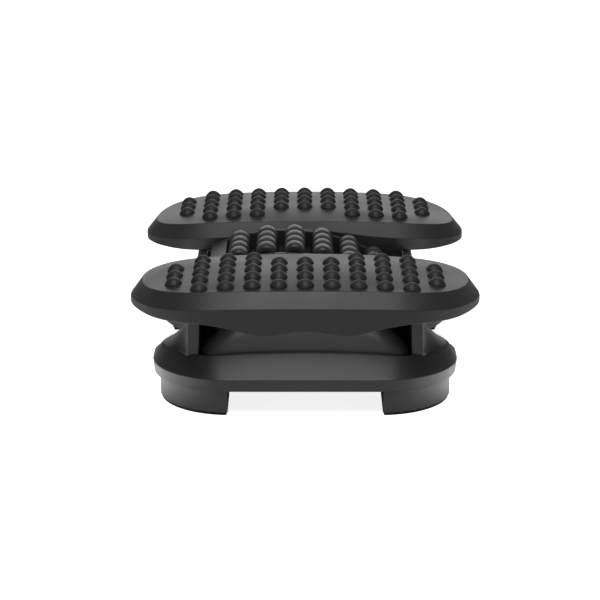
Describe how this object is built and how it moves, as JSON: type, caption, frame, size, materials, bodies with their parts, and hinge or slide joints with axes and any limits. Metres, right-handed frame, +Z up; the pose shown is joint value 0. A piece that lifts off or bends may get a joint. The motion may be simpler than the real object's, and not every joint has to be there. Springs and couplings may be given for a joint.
{
  "type": "tilting under-desk footrest",
  "caption": "Under-desk footrest: two nubbed foot pads tilt together on a raised base, with a rocking cradle of massage rollers between them.",
  "frame": {"origin": "centre of the base at floor level", "axes": "+Z up, +Y across the two pads from the near one to the far one, +X along the pads to the picture's right"},
  "size_m": [0.364, 0.4488, 0.1544],
  "materials": {
    "shell": "satin black moulded plastic",
    "pad": "satin black moulded plastic",
    "grip": "matte black soft-touch skin with domes",
    "bead": "smooth black moulded beads",
    "inner": "matt black moulded plastic",
    "rubber": "matt black rubber",
    "steel": "plain turned steel"
  },
  "bodies": {
    "base": {"base_shell": "shell", "bottom_plate": "inner", "foot_rear_right": "shell", "foot_sole_rear_right": "rubber", "tilt_stop_rear_right": "rubber", "foot_rear_left": "shell", "foot_sole_rear_left": "rubber", "tilt_stop_rear_left": "rubber", "foot_front_left": "shell", "foot_sole_front_left": "rubber", "tilt_stop_front_left": "rubber", "foot_front_right": "shell", "foot_sole_front_right": "rubber", "tilt_stop_front_right": "rubber", "plate_screw_1": "steel", "plate_screw_2": "steel", "plate_screw_3": "steel", "plate_screw_4": "steel", "tilt_pin_right": "steel", "tilt_bush_right": "inner", "tilt_pin_left": "steel", "tilt_bush_left": "inner"},
    "platform": {"rear_saddle": "shell", "rear_pad_shell": "pad", "rear_grip_skin": "grip", "rear_pad_screw_1": "steel", "rear_pad_screw_2": "steel", "front_saddle": "shell", "front_pad_shell": "pad", "front_grip_skin": "grip", "front_pad_screw_1": "steel", "front_pad_screw_2": "steel", "tilt_beam_right": "inner", "side_rail_right": "pad", "tilt_beam_left": "inner", "side_rail_left": "pad", "cradle_axle": "steel"},
    "cradle": {"cradle_frame": "pad", "roller_pin_1": "steel", "roller_pin_2": "steel", "roller_pin_3": "steel", "roller_pin_4": "steel", "roller_pin_5": "steel", "roller_pin_6": "steel"},
    "massage_roller_1": {"roller_1": "bead"},
    "massage_roller_2": {"roller_2": "bead"},
    "massage_roller_3": {"roller_3": "bead"},
    "massage_roller_4": {"roller_4": "bead"},
    "massage_roller_5": {"roller_5": "bead"},
    "massage_roller_6": {"roller_6": "bead"}
  },
  "joints": [
    {"name": "platform_tilt", "type": "hinge", "parent": "base", "child": "platform", "pos_m": [0, 0, 0.074], "axis": [1, 0, 0], "range_deg": [-7, 7]},
    {"name": "cradle_rock", "type": "hinge", "parent": "platform", "child": "cradle", "pos_m": [0, 0, 0.1015], "axis": [0, 1, 0], "range_deg": [-14, 0]},
    {"name": "roller_1_spin", "type": "hinge", "parent": "cradle", "child": "massage_roller_1", "pos_m": [-0.07132, 0, 0.12876], "axis": [0, 1, 0], "continuous": true},
    {"name": "roller_2_spin", "type": "hinge", "parent": "cradle", "child": "massage_roller_2", "pos_m": [-0.04148, 0, 0.13423], "axis": [0, 1, 0], "continuous": true},
    {"name": "roller_3_spin", "type": "hinge", "parent": "cradle", "child": "massage_roller_3", "pos_m": [-0.01115, 0, 0.13513], "axis": [0, 1, 0], "continuous": true},
    {"name": "roller_4_spin", "type": "hinge", "parent": "cradle", "child": "massage_roller_4", "pos_m": [0.01896, 0, 0.13144], "axis": [0, 1, 0], "continuous": true},
    {"name": "roller_5_spin", "type": "hinge", "parent": "cradle", "child": "massage_roller_5", "pos_m": [0.04817, 0, 0.12323], "axis": [0, 1, 0], "continuous": true},
    {"name": "roller_6_spin", "type": "hinge", "parent": "cradle", "child": "massage_roller_6", "pos_m": [0.0758, 0, 0.11069], "axis": [0, 1, 0], "continuous": true}
  ]
}
